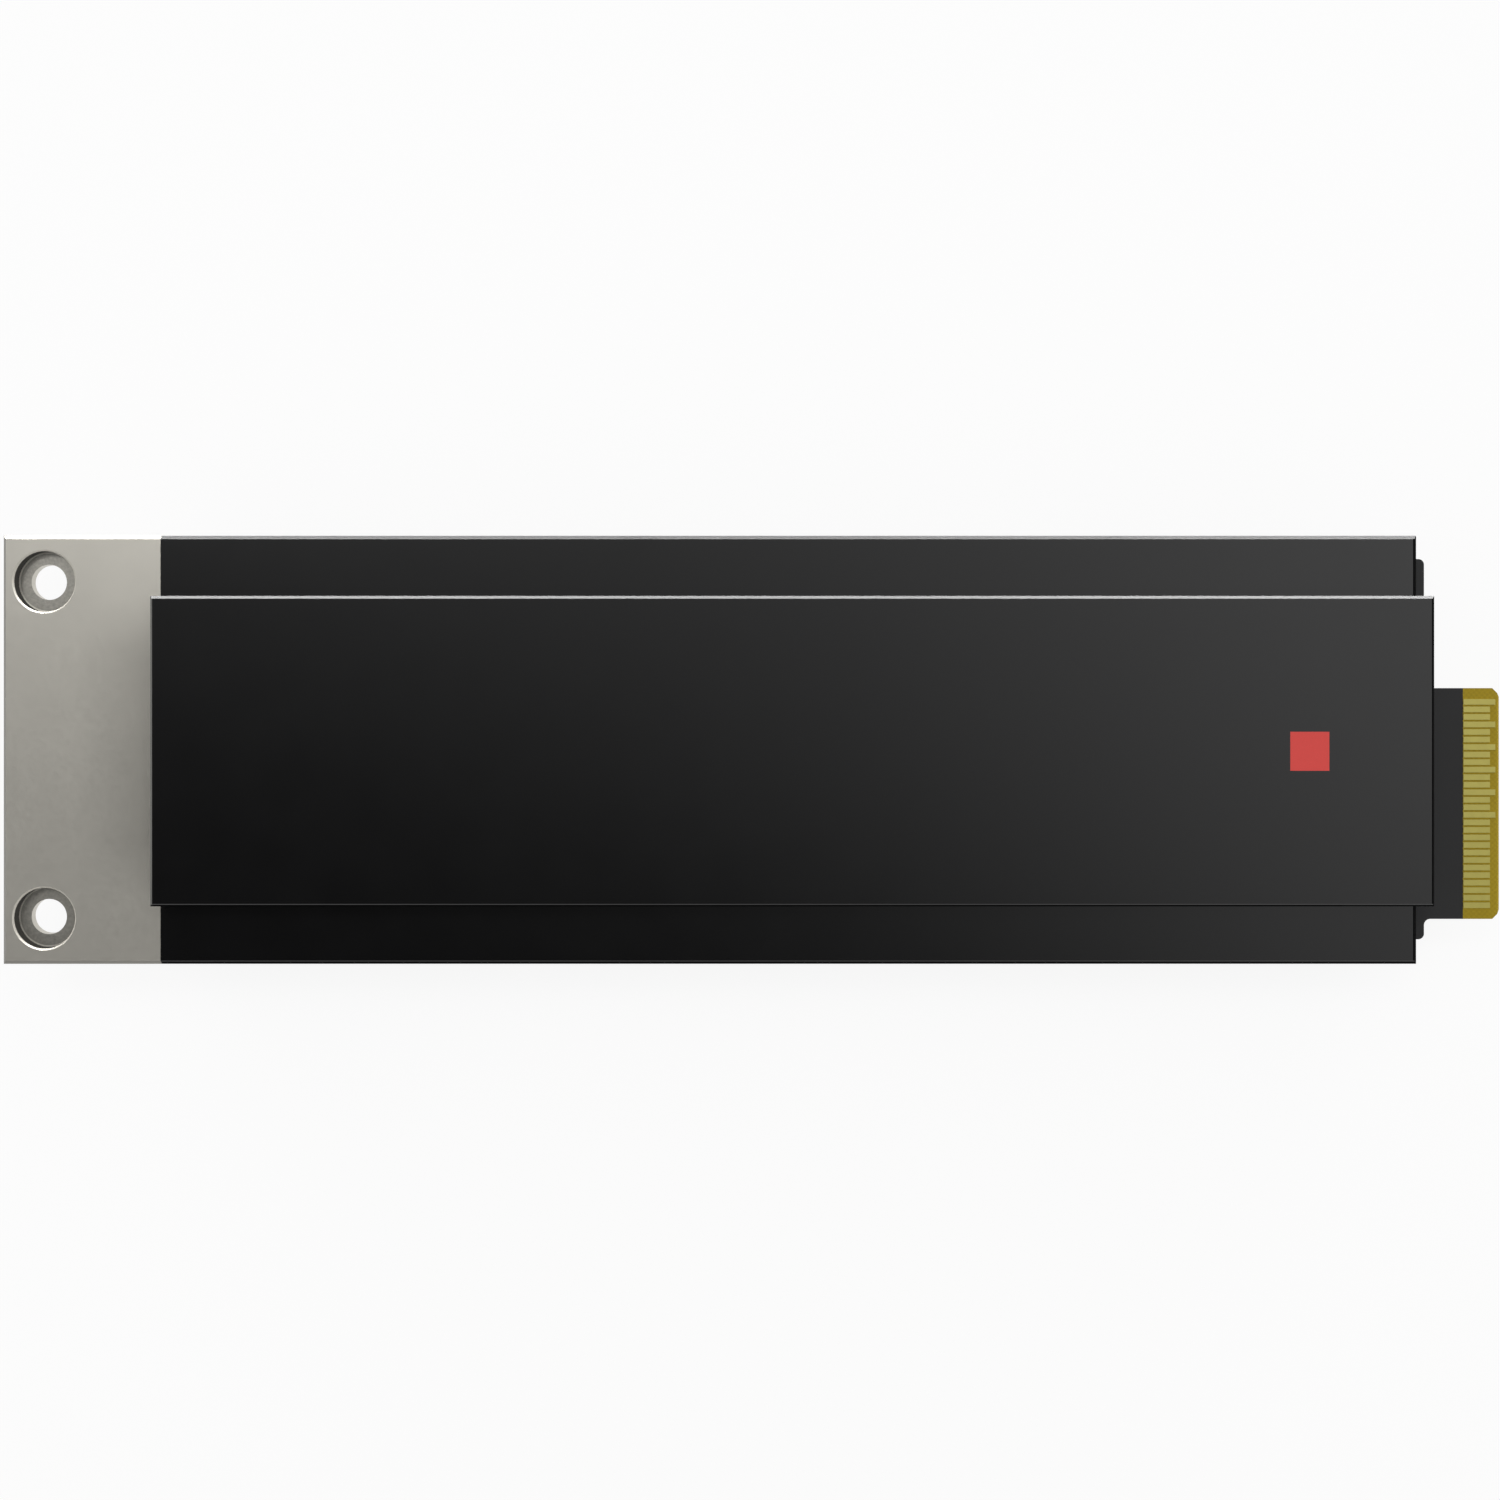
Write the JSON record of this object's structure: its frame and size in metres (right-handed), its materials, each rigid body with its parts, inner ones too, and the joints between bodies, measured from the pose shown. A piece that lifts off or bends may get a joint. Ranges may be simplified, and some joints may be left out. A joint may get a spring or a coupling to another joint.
{
  "type": "ruler ssd module",
  "caption": "Flat ruler-shaped solid-state drive module with a raised case middle, a bare end with screw holes and a gold card-edge tab.",
  "frame": {"origin": "middle of the whole module's length and width, on the underside that it lies on", "axes": "+X towards the contact tab, -X towards the bare end with the screw holes, +Z out of the face with the colour mark, +Y to the side that the tab is set away from"},
  "size_m": [0.1188, 0.0338, 0.0095],
  "materials": {
    "case_paint": "satin black paint on die-cast aluminium, bare at the mounting end",
    "mark_red": "flat ink",
    "board_mask": "matt solder mask, bare laminate at the contacts",
    "contact_gold": "hard gold plating",
    "screw_steel": "black zinc",
    "package_mould": "matt moulding compound",
    "thermal_pad": "soft filled silicone",
    "holdup_mould": "moulded epoxy",
    "inductor_core": "pressed metal powder",
    "crystal_lid": "plated lid",
    "ceramic_chip": "fired ceramic",
    "resistor_chip": "glazed ceramic"
  },
  "bodies": {
    "root": {"upper_case": "case_paint", "lower_case": "case_paint", "colour_mark": "mark_red", "main_board": "board_mask", "edge_contacts_top": "contact_gold", "edge_contacts_bottom": "contact_gold", "case_screws": "screw_steel", "nand_flash_1": "package_mould", "nand_flash_2": "package_mould", "nand_flash_3": "package_mould", "nand_flash_4": "package_mould", "dram_1": "package_mould", "dram_2": "package_mould", "controller": "package_mould", "power_regulator": "package_mould", "input_switch": "package_mould", "serial_flash": "package_mould", "nand_thermal_pad_1": "thermal_pad", "nand_thermal_pad_2": "thermal_pad", "nand_thermal_pad_3": "thermal_pad", "nand_thermal_pad_4": "thermal_pad", "dram_thermal_pad_1": "thermal_pad", "dram_thermal_pad_2": "thermal_pad", "controller_thermal_pad": "thermal_pad", "holdup_capacitor_1": "holdup_mould", "holdup_capacitor_2": "holdup_mould", "holdup_capacitor_3": "holdup_mould", "holdup_capacitor_4": "holdup_mould", "holdup_capacitor_5": "holdup_mould", "holdup_capacitor_6": "holdup_mould", "holdup_capacitor_7": "holdup_mould", "holdup_capacitor_8": "holdup_mould", "inductor_1": "inductor_core", "inductor_2": "inductor_core", "inductor_3": "inductor_core", "clock_crystal": "crystal_lid", "decoupling_capacitors": "ceramic_chip", "coupling_capacitors": "ceramic_chip", "edge_resistors": "resistor_chip"}
  },
  "joints": []
}
